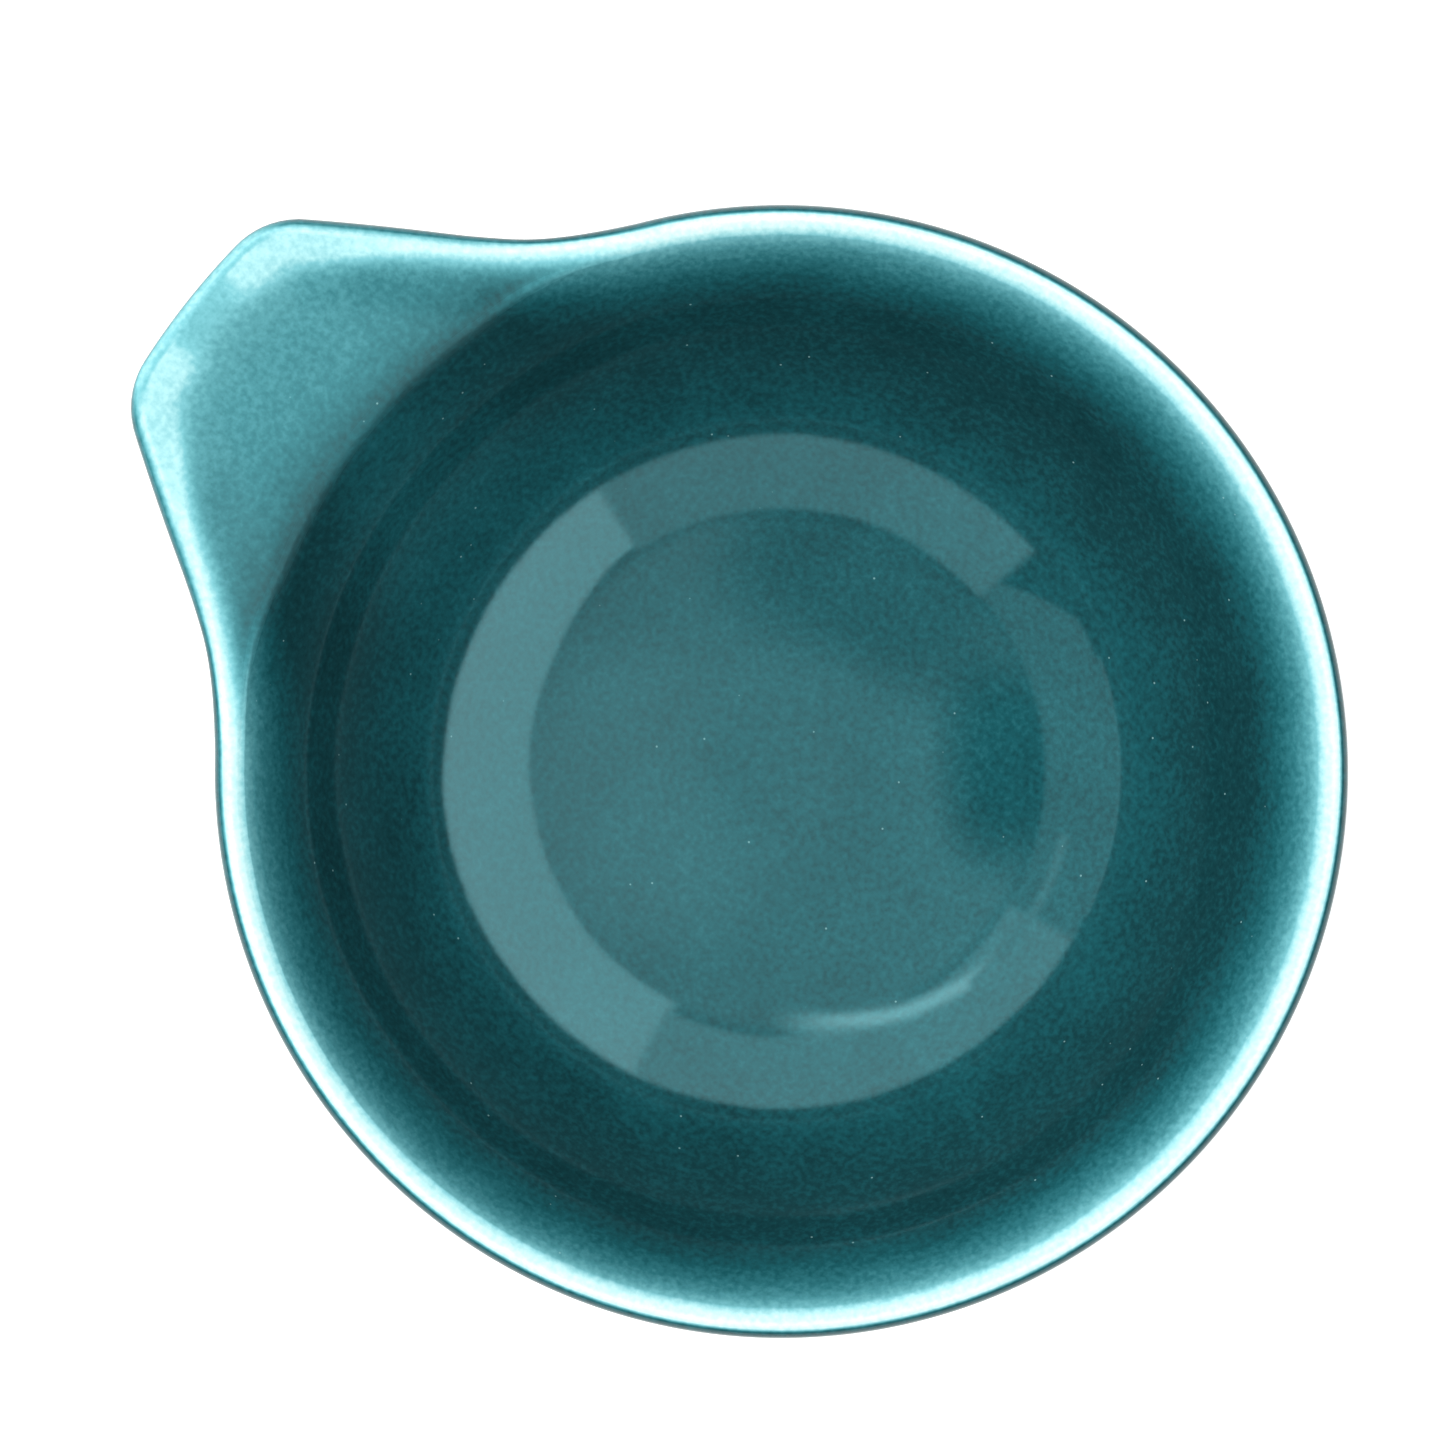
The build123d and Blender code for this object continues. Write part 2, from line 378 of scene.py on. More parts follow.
    def specks(self, tree: Any, place: Any) -> Any:
        """Puts a soft speck at the middle of a few of the cells that fill the surface."""
        cells = add_node(
            tree,
            "ShaderNodeTexVoronoi",
            {"Vector": place, "Scale": 1 / (self.speck * MM), "Randomness": 1.0},
        ).outputs
        dots = add_node(
            tree,
            "ShaderNodeMapRange",
            {
                "Value": cells["Distance"],
                "From Min": self.speck_fade[0],
                "From Max": self.speck_fade[1],
                "To Min": self.speck_strength,
                "To Max": 0.0,
            },
        ).outputs["Result"]
        split = add_node(tree, "ShaderNodeSeparateColor", {"Color": cells["Color"]})
        rare = add_node(
            tree,
            "ShaderNodeMath",
            {0: split.outputs["Red"], 1: self.speck_skip},
            operation="GREATER_THAN",
        ).outputs[0]
        return add_node(tree, "ShaderNodeMath", {0: dots, 1: rare}, operation="MULTIPLY").outputs[0]


@dataclass(frozen=True)
class FiredClay:
    """Bare buff stoneware, wheel-turned and fired: matt, sandy, with darker iron specks."""

    name: str = "bare buff stoneware"
    ior: float = 1.5
    roughness: float = 0.82
    sand: float = 0.35  # mm, grog that the turning tool drags up
    sand_depth: float = 0.06  # mm
    sand_stops: tuple[tuple[float, str], ...] = (
        (0.25, "#b79a75"),
        (0.50, "#cbb28d"),
        (0.80, "#dbc7a6"),
    )
    iron: float = 1.6  # mm, spacing of the iron specks
    iron_stops: tuple[tuple[float, str], ...] = ((0.06, "#6b4a31"), (0.13, "#ffffff"))
    iron_strength: float = 0.8

    def material(self) -> bpy.types.Material:
        """Builds the bare clay.

        Returns:
            The material.
        """
        material, tree = blank_material(self.name)
        place = add_node(tree, "ShaderNodeTexCoord").outputs["Object"]
        sand = add_node(
            tree,
            "ShaderNodeTexNoise",
            {"Vector": place, "Scale": 1 / (self.sand * MM), "Detail": 4.0},
        ).outputs["Fac"]
        body = add_node(tree, "ShaderNodeValToRGB", {"Fac": sand})
        fill_ramp(body, self.sand_stops)
        specks = add_node(
            tree, "ShaderNodeTexVoronoi", {"Vector": place, "Scale": 1 / (self.iron * MM)}
        ).outputs["Distance"]
        dots = add_node(tree, "ShaderNodeValToRGB", {"Fac": specks})
        fill_ramp(dots, self.iron_stops)
        both = {COLOUR_A: body.outputs["Color"], COLOUR_B: dots.outputs["Color"]}
        colour = add_node(
            tree,
            "ShaderNodeMix",
            {0: self.iron_strength, **both},
            data_type="RGBA",
            blend_type="MULTIPLY",
        )
        relief = add_node(
            tree,
            "ShaderNodeBump",
            {"Height": sand, "Distance": self.sand_depth * MM, "Strength": 1.0},
        ).outputs["Normal"]
        shader = add_node(
            tree,
            "ShaderNodeBsdfPrincipled",
            {
                "Base Color": colour.outputs[COLOUR_OUT],
                "Roughness": self.roughness,
                "IOR": self.ior,
                "Normal": relief,
            },
        )
        add_node(tree, "ShaderNodeOutputMaterial", {"Surface": shader.outputs["BSDF"]})
        return material


# ---- Shape ------------------------------------------------------------------------------------


class Zone(Enum):
    """Stretches of the section, in order, each with its number of grid steps."""

    WELL = ("inside, from the axis to the joint under the lip", 60)
    TOP = ("from the joint to the crown of the edge", 28)
    EDGE = ("round the edge, from its crown to the underside", 16)
    UNDER = ("underside, from the edge back to the joint", 16)
    WALL = ("outside, from the joint to the foot", 38)
    FILLET_OUT = ("hollow between the wall and the foot", 8)
    SIDE_OUT = ("outer side of the foot, down to the bare clay", 8)
    SEAT = ("bare clay of the foot", 12)
    SIDE_IN = ("inner side of the foot, up from the bare clay", 8)
    FILLET_IN = ("hollow between the foot and the underside", 8)
    BASE = ("underside, to the axis", 24)

    @property
    def steps(self) -> int:
        """Number of grid steps along the section."""
        return self.value[1]

    @property
    def first(self) -> int:
        """Number of the first grid column."""
        order = list(Zone)
        return sum(zone.steps for zone in order[: order.index(self)])

    @property
    def last(self) -> int:
        """Number of the last grid column."""
        return self.first + self.steps


@dataclass(frozen=True)
class Run:
    """How pale the glaze is at some places, with straight lines between them: how thinly it runs,
    and in some tables painted light and shade as well.
    """

    at: tuple[float, ...]
    thin_and_painted_light: tuple[float, ...]

    def over(self, places: Array) -> Array:
        """Reads the thinness at each place."""
        return np.interp(places, self.at, self.thin_and_painted_light)


# Inside the bowl by the distance from the rim, and on the lug by that from its sides and its
# end, all in millimetres.
# The darkest band, 12 to 15 mm in from the rim where the wall is steepest, is painted shade over
# glaze that pools there, and the floor is painted lighter, as lit from above.
WELL_RUN = Run(
    (0, 1.4, 3.2, 4.2, 4.7, 5.8, 7.2, 9, 12, 15, 20, 25, 30, 77),
    (1, 1, 0.86, 0.62, 0.48, 0.4, 0.3, 0.19, 0.1, 0.09, 0.11, 0.15, 0.17, 0.17),
)
SIDE_RUN = Run(
    (0, 1.4, 2.2, 2.6, 3.4, 4.2, 5.2, 6.5, 8.5, 14, 24),
    (0.95, 1, 0.94, 0.84, 0.7, 0.55, 0.41, 0.31, 0.26, 0.29, 0.3),
)
# The lug's top gets paler towards its end: partly the glaze thinning towards the edge, partly
# painted light where the top turns level to the light above.
END_RUN = Run(
    (0, 0.4, 0.9, 2.4, 5, 8, 12, 18, 30), (0.7, 0.64, 0.58, 0.56, 0.53, 0.45, 0.36, 0.3, 0.27)
)

# Round the edge, from its crown at 0 to the underside at 1: at the rim, the lug's sides and the
# lug's end.
# The dip to dark past the crown, on the rim and the sides, is a painted shade line along the outer
# edge, and the pale band round the end's crown is a painted highlight.
RIM_EDGE = Run((0, 0.18, 0.26, 0.34, 1), (1, 0.86, 0.34, 0.1, 0.15))
FLANK_EDGE = Run((0, 0.1, 0.2, 0.3, 0.45, 1), (0.82, 0.76, 0.45, 0.2, 0.12, 0.16))
TIP_EDGE = Run((0, 0.1, 0.2, 0.28, 0.38, 1), (0.58, 0.6, 0.68, 0.66, 0.25, 0.18))

# Outside: the thinness before each power at the zone's first and last step, and the power.
OUTSIDE_RUNS = {
    Zone.UNDER: (0.18, 0.18, 1),
    Zone.WALL: (0.18, 0.13, 1),
    Zone.FILLET_OUT: (0.06, 0.06, 1),
    Zone.SIDE_OUT: (0.08, 0.5, 1.5),
    Zone.SEAT: (0.5, 0.5, 1),
    Zone.SIDE_IN: (0.5, 0.08, 1.5),
    Zone.FILLET_IN: (0.06, 0.06, 1),
    Zone.BASE: (0.1, 0.2, 1),
}

# Degrees from the lug's axis over which the lug's sides give way to the rim.
ROOTS = (18, 34)


@dataclass
class Outline:
    """Edge of the dish in plan: the rim's circle, carried out round the lug."""

    rim_radius: float = 77.5
    lug_reach: float = 102.8  # from the axis to the lug's end
    end_width: float = 31.6  # between the end's corners before they are rounded
    splay: float = 33.5  # between each side and the lug's axis
    corner: float = 12.0  # radius of the end's corners
    root: float = 90.0  # radius of the sweeps into the rim
    samples: int = 260  # points on each arc

    def on_side(self, distance: float, from_axis: float) -> Array:
        """Finds the point this far from the axis, and this far from the side's parallel there."""
        turn = np.radians(90 - self.splay)
        out = np.array([np.cos(turn), np.sin(turn)])
        inward = np.array([out[1], -out[0]])
        return out * distance + inward * np.sqrt(from_axis**2 - distance**2)

    @property
    def side_distance(self) -> float:
        """Distance from the axis to the straight side's line."""
        turn = np.radians(90 - self.splay)
        half = self.end_width / 2
        end = np.sqrt(self.lug_reach**2 - half**2)
        return float(end * np.cos(turn) + half * np.sin(turn))

    @property
    def root_centre(self) -> Array:
        """Centre of the sweep from the rim into the side."""
        return self.on_side(self.side_distance + self.root, self.rim_radius + self.root)

    @property
    def corner_centre(self) -> Array:
        """Centre of the rounded end corner."""
        return self.on_side(self.side_distance - self.corner, self.lug_reach - self.corner)

    @property
    def root_azimuth(self) -> float:
        """Where the lug's outline leaves the rim's circle, in degrees."""
        return float(np.degrees(np.arctan2(self.root_centre[1], self.root_centre[0])))

    def path(self) -> tuple[Array, Array]:
        """Follows the outline once round, from azimuth -180 to 180.

        The half with positive y is the end's arc about the axis, the corner's arc, the side's
        line, the root's arc and the rim's circle, and the other half is its mirror image.

        Returns:
            Points in plan, and the direction that each one faces, in radians.
        """
        corner = np.arctan2(self.corner_centre[1], self.corner_centre[0])
        side = np.radians(90 - self.splay)
        root = np.radians(self.root_azimuth)
        spread = np.linspace(0, 1, self.samples)
        ends = [(0, corner), (corner, side), (side, root), (root, np.pi)]
        facing = [low + (high - low) * spread for low, high in ends]
        centres = [np.zeros(2), self.corner_centre, self.root_centre, np.zeros(2)]
        radii = [self.lug_reach, self.corner, -self.root, self.rim_radius]
        arcs = [
            centre + radius * np.column_stack([np.cos(turn), np.sin(turn)])
            for centre, radius, turn in zip(centres, radii, facing)
        ]
        line = arcs[1][-1] + (arcs[2][0] - arcs[1][-1]) * spread[:, None]
        points = np.vstack([arcs[0], arcs[1][1:], line[1:], arcs[2][1:], arcs[3][1:]])
        turns = np.concatenate(
            [facing[0], facing[1][1:], np.full(len(line) - 1, side), facing[2][1:], facing[3][1:]]
        )
        mirrored = points[:0:-1] * [1, -1]
        return np.vstack([mirrored, points]), np.concatenate([-turns[:0:-1], turns])


@dataclass
class DishSurface:
    """The whole glazed surface of the dish as one grid."""

    outline: Outline = field(default_factory=Outline)
    rim_height: float = 55.0
    wall: float = 5.0
    floor_top: float = 8.5
    floor_radius: float = 8.0  # of the flat middle of the floor
    floor_arc: float = 65.176
    wall_arc: float = 61.952
    flare_arc: float = 62.0
    heel_slope: float = 39.5  # where the floor's arc ends
    wall_slope: float = 62.0  # where the wall's arc ends
    lip_slope: float = 48.4  # where the flare's arc ends
    foot_radius: float = 38.0
    foot_width: float = 4.5
    foot_taper: float = 8.0
    foot_fillet: float = 2.0
    bare_height: float = 2.0
    glaze_roll: float = 0.22  # the glaze's thickened lower edge
    roll_middle: float = 0.3  # above the edge
    roll_width: float = 0.9
    glaze_run: float = 0.8  # how far the lower edge wanders down
    knee_slope: float = 12.0  # the lug's steepest climb
    end_slope: float = 3.0
    under_slope: float = 8.0
    under_root: float = 6.0  # radius of the hollow where the wall meets the lug's underside
    hollow_depth: float = 1.6
    hollow_start: tuple[float, float] = (64, 74)  # out along the lug, where it sets in
    hollow_end: tuple[float, float] = (1.0, 9.0)  # from the lug's end, where it fades
    hollow_sides: tuple[float, float] = (3.2, 13.0)  # from the outline, where it deepens
    crease: float = 0.25  # rounding between the well and the lug's top
    crease_fade: tuple[float, float] = (25, 37)  # from the lug's axis, where it becomes the lip's
    rub: tuple[float, float] = (0.25, 1.1)  # over the crease or under it, where the rubbing ends
    rub_fade: tuple[float, float] = (22, 34)  # from the lug's axis, where it ends along the crease
    straight: float = 60.0  # how far the sections go on past their last arc
    lug_rays: int = 152
    bowl_rays: int = 328

    def __post_init__(self) -> None:
        """Works out the sections, the grid, its normals and what the glaze is like on it."""
        self.lip_radius = self.wall / 2
        self.crown_radius = self.outline.rim_radius - self.lip_radius
        lip = np.radians(self.lip_slope)
        self.joint_radius = self.crown_radius - self.lip_radius * np.sin(lip)
        self.lip_blend = self.lip_radius * np.tan(lip / 2) * np.tan(lip)
        slopes = (self.heel_slope, self.wall_slope, self.lip_slope)
        inner = (self.floor_arc, self.wall_arc, self.flare_arc)
        outer = (self.floor_arc + self.wall, self.wall_arc + self.wall, self.flare_arc - self.wall)
        inside = arc_chain((self.floor_radius, self.floor_top), [*zip(inner, slopes)])
        outside = arc_chain(
            (self.floor_radius, self.floor_top - self.wall),
            [*zip(outer, slopes), (self.under_root, self.under_slope)],
        )
        self.inner = ray(inside, self.lip_slope, self.straight)
        self.outer = ray(outside, self.under_slope, self.straight)
        self.edge_points, self.edge_facing = self.outline.path()
        self.azimuth = self.ray_azimuths()
        # Degrees from the lug's axis, as a column.
        self.spread = np.abs((np.degrees(self.azimuth)[:, None] + 180) % 360 - 180)
        self.grid, self.rise, self.side_margin, self.end_margin = self.build()
        self.normals = self.find_normals()
        self.thinness_and_painted_light = self.find_thinness_and_painted_light()
        self.dullness = self.find_dullness()

    def ray_azimuths(self) -> Array:
        """Spreads the rays round the axis, closer together over the lug.

        Returns:
            Azimuths in radians, from one root round over the lug and the rim, without repeating.
        """
        root = np.radians(self.outline.root_azimuth)
        over = np.linspace(-root, root, self.lug_rays + 1)
        around = np.linspace(root, 2 * np.pi - root, self.bowl_rays + 1)
        return np.concatenate([over, around[1:-1]])

    def level(self, x: Array) -> Array:
        """Gives the height of the lug's top before it is hollowed.

        It is level to the roots, climbs on an arc to the knee slope over the joint, and eases
        on a second arc to the end slope.

        Args:
            x: Distances out along the lug.

        Returns:
            Heights.
        """
        start = self.outline.rim_radius * np.cos(np.radians(self.outline.root_azimuth))
        knee, end = np.radians(self.knee_slope), np.radians(self.end_slope)
        climb = (self.joint_radius - start) / np.sin(knee)
        ease = (self.outline.lug_reach - self.joint_radius) / (np.sin(knee) - np.sin(end))
        past_start, past_knee = (x - start) / climb, (x - self.joint_radius) / ease
        rising = np.arcsin(np.clip(past_start, 0, np.sin(knee)))
        easing = np.arcsin(np.clip(np.sin(knee) - past_knee, 0, np.sin(knee)))
        climbed = climb * (1 - np.cos(rising))
        return self.rim_height + climbed + ease * (np.cos(easing) - np.cos(knee))

    def side_margins(self, x: Array, y: Array) -> Array:
        """Finds the distance in plan to the rim and the lug's sides, column by column."""
        corner = np.arctan2(*self.outline.corner_centre[::-1])
        points = self.edge_points[np.abs(self.edge_facing) >= corner]
        columns = [
            np.sqrt(
                (x[:, column, None] - points[:, 0]) ** 2 + (y[:, column, None] - points[:, 1]) ** 2
            ).min(axis=1)
            for column in range(x.shape[1])
        ]
        return np.column_stack(columns)

    def top(self, x: Array, y: Array, margin: Array) -> tuple[Array, Array]:
        """Gives the height of everything that faces up.

        It is the rounded lower of the well, which goes on straight at the lip's slope, and the
        lug's top, whose hollow deepens with the distance from the outline. The rounding is
        the lip's on the rim, and the crease's over the lug.

        Args:
            x: First coordinate in plan.
            y: Second coordinate in plan.
            margin: Distance to the outline.

        Returns:
            Heights, and how far the well's line is above the lug's: nothing at the crease.
        """
        r = np.hypot(x, y)
        well = np.interp(r, self.inner[:, 0], self.inner[:, 1])
        from_end = self.outline.lug_reach - r
        over = smoothstep(x, *self.hollow_start) * smoothstep(from_end, *self.hollow_end)
        hollow = self.hollow_depth * smoothstep(margin, *self.hollow_sides) * over
        plane = self.level(x) - hollow
        spread = np.abs(np.degrees(np.arctan2(y, x)))
        creased = 1 - smoothstep(spread, *self.crease_fade)
        blend = self.lip_blend + (self.crease - self.lip_blend) * creased
        return soft_least(well, plane, blend), well - plane

    def underside(self, r: Array) -> Array:
        """Gives the height of the outside at a radius."""
        return np.interp(r, self.outer[:, 0], self.outer[:, 1])

    def crown_line(self) -> tuple[Array, Array]:
        """Finds where each ray crosses the crown of the edge, one lip radius inside the outline.

        Returns:
            Points in plan, and the direction that each one faces, in radians.
        """
        faces = self.edge_facing
        inset = self.edge_points - self.lip_radius * np.column_stack([np.cos(faces), np.sin(faces)])
        turned = np.unwrap(np.arctan2(inset[:, 1], inset[:, 0]))
        wanted = (self.azimuth + np.pi) % (2 * np.pi) - np.pi
        reach = np.interp(wanted, turned, np.hypot(inset[:, 0], inset[:, 1]))
        facing = np.interp(wanted, turned, faces)
        return np.column_stack([reach * np.cos(wanted), reach * np.sin(wanted)]), facing

    def edge(self, crown: Array, facing: Array, height: Array, slope: Array) -> Array:
        """Rounds the edge with one arc that touches the top at the crown, and the underside.

        The arc's radius is the one at which its centre is just that far from the underside. It
        is found by halving the range of radii again and again, for all rays at once.

        Args:
            crown: Crown points in plan.
            facing: Direction that each faces, in radians.
            height: Height of each crown.
            slope: Slope of the top along the facing direction, in radians.

        Returns:
            Points round the edge, one row a ray, after the crown.
        """
        halvings = 18
        least, most = 0.5, 4.0  # that the radius may be
        span, samples = 7, 1401  # of the underside, each side of the crown
        out = np.column_stack([np.cos(facing), np.sin(facing)])
        reach = np.linspace(-span, span, samples)
        spots = crown[:, None, :] + out[:, None, :] * reach[:, None]
        below = self.underside(np.hypot(spots[..., 0], spots[..., 1]))
        low, high = np.full(len(crown), least), np.full(len(crown), most)
        for _ in range(halvings):
            radius = (low + high) / 2
            middle = np.stack([radius * np.sin(slope), height - radius * np.cos(slope)])
            gap = np.hypot(reach[None] - middle[0][:, None], below - middle[1][:, None])
            fits = gap.min(axis=1) > radius
            low, high = np.where(fits, radius, low), np.where(fits, high, radius)
        touch = gap.argmin(axis=1)
        rows = np.arange(len(crown))
        final = np.arctan2(below[rows, touch] - middle[1], reach[touch] - middle[0])
        first = np.pi / 2 + slope
        steps = np.linspace(0, 1, Zone.EDGE.steps + 1)[1:]
        turn = first[:, None] + (final - first)[:, None] * steps
        across = middle[0][:, None] + radius[:, None] * np.cos(turn)
        up = middle[1][:, None] + radius[:, None] * np.sin(turn)
        plan = crown[:, None, :] + out[:, None, :] * across[..., None]
        return np.concatenate([plan, up[..., None]], axis=2)

    def foot_corner(self, radius: float, way: int) -> tuple[Array, Array]:
        """Fits the fillet between one side of the foot and the bowl.

        Its centre is a fillet radius from the side's line, and a fillet radius further than
        the outside from the centre of the floor's arc.

        Args:
            radius: Radius of that side at the seat.
            way: 1 for the outer side and -1 for the inner one.

        Returns:
            The fillet's points from the bowl to the side, and the side's direction up.
        """
        lean = np.sin(np.radians(self.foot_taper))
        up = np.array([way * lean, 1.0]) / np.hypot(lean, 1)
        out = np.array([way, -lean]) / np.hypot(lean, 1)
        bowl_arc = self.floor_arc + self.wall
        hub = np.array([self.floor_radius, self.floor_top - self.wall + bowl_arc])
        highest, samples, arc_samples = 14, 1500, 60
        z = np.linspace(0, highest, samples)
        centres = np.column_stack([radius + way * lean * z, z]) + self.foot_fillet * out
        gap = np.hypot(*(centres - hub).T) - bowl_arc - self.foot_fillet
        height = np.interp(0, -gap, z)
        centre = np.array([radius + way * lean * height, height]) + self.foot_fillet * out
        first = np.arctan2(*(hub - centre)[::-1])
        last = np.arctan2(-out[1], -out[0])
        if way > 0 and last < 0:
            last += 2 * np.pi
        turn = np.linspace(first, last, arc_samples)
        arc = centre + self.foot_fillet * np.column_stack([np.cos(turn), np.sin(turn)])
        return arc, up

    def foot_part(self) -> Array:
        """Sweeps the outside from the joint over the foot to the axis.

        Returns:
            Grid points, one row a ray, after the joint.
        """
        inner_radius = self.foot_radius - self.foot_width
        outer_arc, outer_up = self.foot_corner(self.foot_radius, 1)
        inner_arc, inner_up = self.foot_corner(inner_radius, -1)
        r = np.linspace(self.joint_radius, outer_arc[0, 0], Zone.WALL.steps + 1)[1:]
        wall = self.turned(np.column_stack([r, self.underside(r)]))
        fillet_out = self.turned(along(outer_arc, Zone.FILLET_OUT.steps))

        # The lower edge wanders differently on the two sides.
        outer_edge = self.bare_height - self.glaze_run * waves(self.azimuth, 0.7)
        inner_edge = self.bare_height - self.glaze_run * waves(self.azimuth, 2.1)
        down = self.foot_side(outer_arc[-1], outer_up, outer_edge, 1, Zone.SIDE_OUT.steps)
        back = self.foot_side(inner_arc[-1], inner_up, inner_edge, -1, Zone.SIDE_IN.steps)

        # No piece is cut from the seat: it only joins the two sides.
        tuck, bevel, bevel_height = 0.1, 0.6, 0.7
        seat = np.array(
            [
                [self.foot_radius + tuck, bevel_height],
                [self.foot_radius - bevel, 0.0],
                [inner_radius + bevel, 0.0],
                [inner_radius - tuck, bevel_height],
            ]
        )
        bare = self.turned(np.vstack([seat[0], along(seat, Zone.SEAT.steps - 2)]))
        fillet_in = np.vstack([inner_arc[-1], along(inner_arc[::-1], Zone.FILLET_IN.steps)])
        r = np.linspace(inner_arc[0, 0], 0, Zone.BASE.steps + 1)[1:]
        flat = self.floor_top - self.wall
        base = np.column_stack([r, np.interp(r, self.outer[:, 0], self.outer[:, 1], left=flat)])
        parts = [wall, fillet_out, down, bare, back[:, ::-1], *map(self.turned, (fillet_in, base))]
        return np.concatenate(parts, axis=1)

    def foot_side(self, start: Array, up: Array, edge: Array, way: int, steps: int) -> Array:
        """Runs straight down one side of the foot, and swells into the glaze's rolled edge.

        The swelling is a bell curve, with its middle a little above the edge.

        Args:
            start: Where the fillet meets the side.
            up: Direction of the side.
            edge: Height of the glaze's edge on each ray.
            way: 1 for the outer side and -1 for the inner one.
            steps: Number of steps.

        Returns:
            Grid points, one row a ray, after the start.
        """
        part = np.linspace(0, 1, steps + 1)[1:]
        z = start[1] + (edge[:, None] - start[1]) * part
        from_middle = z - edge[:, None] - self.roll_middle
        roll = self.glaze_roll * np.exp(-((from_middle / self.roll_width) ** 2))
        r = start[0] + (z - start[1]) * up[0] / up[1] + way * roll
        return self.on_rays(r, z)

    def turned(self, section: Array) -> Array:
        """Turns a section round the axis on every ray."""
        return self.on_rays(section[:, 0], section[:, 1])

    def on_rays(self, r: Array, z: Array) -> Array:
        """Puts radii and heights on the rays: one row for all of them, or a row for each."""
        turn = self.azimuth[:, None]
        x, y = r * np.cos(turn), r * np.sin(turn)
        return np.stack([x, y, np.broadcast_to(z, x.shape)], axis=2)

    def build(self) -> tuple[Array, Array, Array, Array]:
        """Lays out the whole grid.

        Returns:
            Points by ray and column. For those on top, the well's height over the lug's, the
            distance to the rim and the lug's sides, and the distance to the lug's end.
        """
        crown, facing = self.crown_line()
        rays = np.column_stack([np.cos(self.azimuth), np.sin(self.azimuth)])
        reach = np.hypot(crown[:, 0], crown[:, 1])
        well = np.linspace(0, self.joint_radius, Zone.WELL.steps + 1)
        even = np.linspace(0, 1, Zone.TOP.steps + 1)[1:]
        bunched = (1 - np.cos(np.pi * even)) / 2  # closer together at both ends
        evenness = 0.22
        part = evenness * even + (1 - evenness) * bunched
        beyond = self.joint_radius + (reach - self.joint_radius)[:, None] * part
        radii = np.concatenate([np.broadcast_to(well, (len(rays), len(well))), beyond], axis=1)
        x, y = radii * rays[:, :1], radii * rays[:, 1:]
        side_margin = self.side_margins(x, y)
        end_margin = self.outline.lug_reach - radii
        height, rise = self.top(x, y, np.minimum(side_margin, end_margin))
        upper = np.stack([x, y, height], axis=2)

        out = np.column_stack([np.cos(facing), np.sin(facing)])
        step = 0.06  # back from the crown, to find the slope there
        back = crown - step * out
        crown_margin = np.full(len(crown), self.lip_radius)
        crown_height = self.top(crown[:, 0], crown[:, 1], crown_margin)[0]
        back_height = self.top(back[:, 0], back[:, 1], crown_margin + step)[0]
        slope = np.arctan((crown_height - back_height) / step)
        edge = self.edge(crown, facing, crown_height, slope)

        last = edge[:, -1, :2]
        joint = rays * self.joint_radius
        steps = np.linspace(0, 1, Zone.UNDER.steps + 1)[1:, None]
        plan = last[:, None, :] + (joint - last)[:, None, :] * steps[None]
        under = self.underside(np.hypot(plan[..., 0], plan[..., 1]))
        lower = np.concatenate([plan, under[..., None]], axis=2)
        grid = np.concatenate([upper, edge, lower, self.foot_part()], axis=1)
        return grid, rise, side_margin, end_margin

    def find_normals(self) -> Array:
        """Crosses the two tangents of the grid, each weighted for uneven steps.

        Returns:
            Unit vectors that point out of the glaze.
        """
        before, after = np.roll(self.grid, 1, axis=0), np.roll(self.grid, -1, axis=0)
        round_it = self.tangent(before, self.grid, after)
        ahead = 2 * self.grid[:, :1] - self.grid[:, 1:2]
        behind = 2 * self.grid[:, -1:] - self.grid[:, -2:-1]
        padded = np.concatenate([ahead, self.grid, behind], axis=1)
        along_it = self.tangent(padded[:, :-2], self.grid, padded[:, 2:])
        normals = np.cross(along_it, round_it)
        normals[:, 0] = (0, 0, 1)
        normals[:, -1] = (0, 0, -1)
        return normals / np.linalg.norm(normals, axis=2, keepdims=True)

    def tangent(self, before: Array, here: Array, after: Array) -> Array:
        """Gives the tangent of a parabola through three points.

        It is the sum of the two steps, each over its own length and times the other's.
        """
        back, on = here - before, after - here
        back_length = np.linalg.norm(back, axis=2, keepdims=True) + TINY
        on_length = np.linalg.norm(on, axis=2, keepdims=True) + TINY
        return back * on_length / back_length + on * back_length / on_length

    def top_thinness_and_painted_light(self) -> Array:
        """Sets how pale the glaze is on everything that faces up, painted light and shade included.

        The well follows the distance from the rim. On the lug the glaze runs thinly in a band
        along each side and one along the end, and the two are joined by a root of the sum of
        their powers. It is darker on the lug's side of the crease: partly glaze that pools there,
        partly painted shade.

        Returns:
            Thinness, with the painted light and shade, by ray and column.
        """
        well = WELL_RUN.over(self.side_margin)
        end = END_RUN.over(self.end_margin)
        # The band along a side is at its widest 6 mm from the end.
        wide, narrow = smoothstep(self.end_margin, 2, 6), smoothstep(self.end_margin, 6, 20)
        side = SIDE_RUN.over(self.side_margin * (0.8 - 0.24 * wide + 0.44 * narrow))
        # It is at its thinnest at the roots, and less so beside the end.
        from_end = smoothstep(self.end_margin, 6, 18)
        side = np.minimum(side, 0.69 + 0.12 * from_end + 0.19 * smoothstep(self.spread, *ROOTS))
